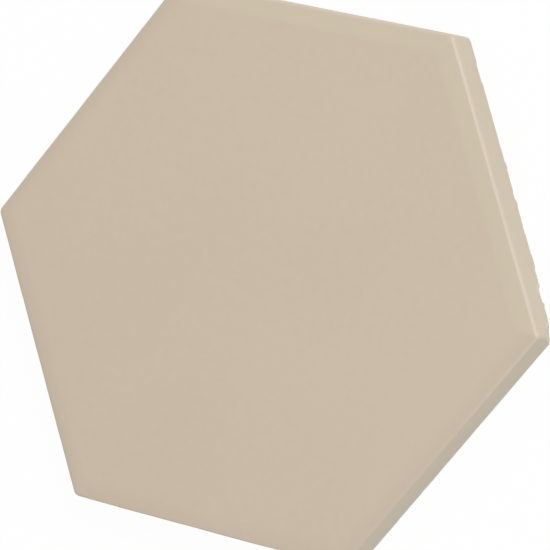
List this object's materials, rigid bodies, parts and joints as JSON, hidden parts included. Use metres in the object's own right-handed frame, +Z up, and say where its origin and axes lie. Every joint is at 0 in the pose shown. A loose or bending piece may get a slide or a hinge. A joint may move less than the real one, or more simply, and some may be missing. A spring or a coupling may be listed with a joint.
{
  "type": "hexagon tile",
  "caption": "Flat hexagonal ceramic tile with a plain satin beige glaze, a softly rolled-off face edge, rounded corners and a keyed back for adhesive.",
  "frame": {"origin": "centre of the tile on the plane of its back lands, which is the floor it lies on", "axes": "+Z up out of the glazed face, +X from the centre through one corner, +Y from the centre through the middle of one side"},
  "size_m": [0.1156, 0.1006, 0.008],
  "materials": {
    "glaze": "satin"
  },
  "bodies": {
    "root": {"hexagon_tile": "glaze"}
  },
  "joints": []
}
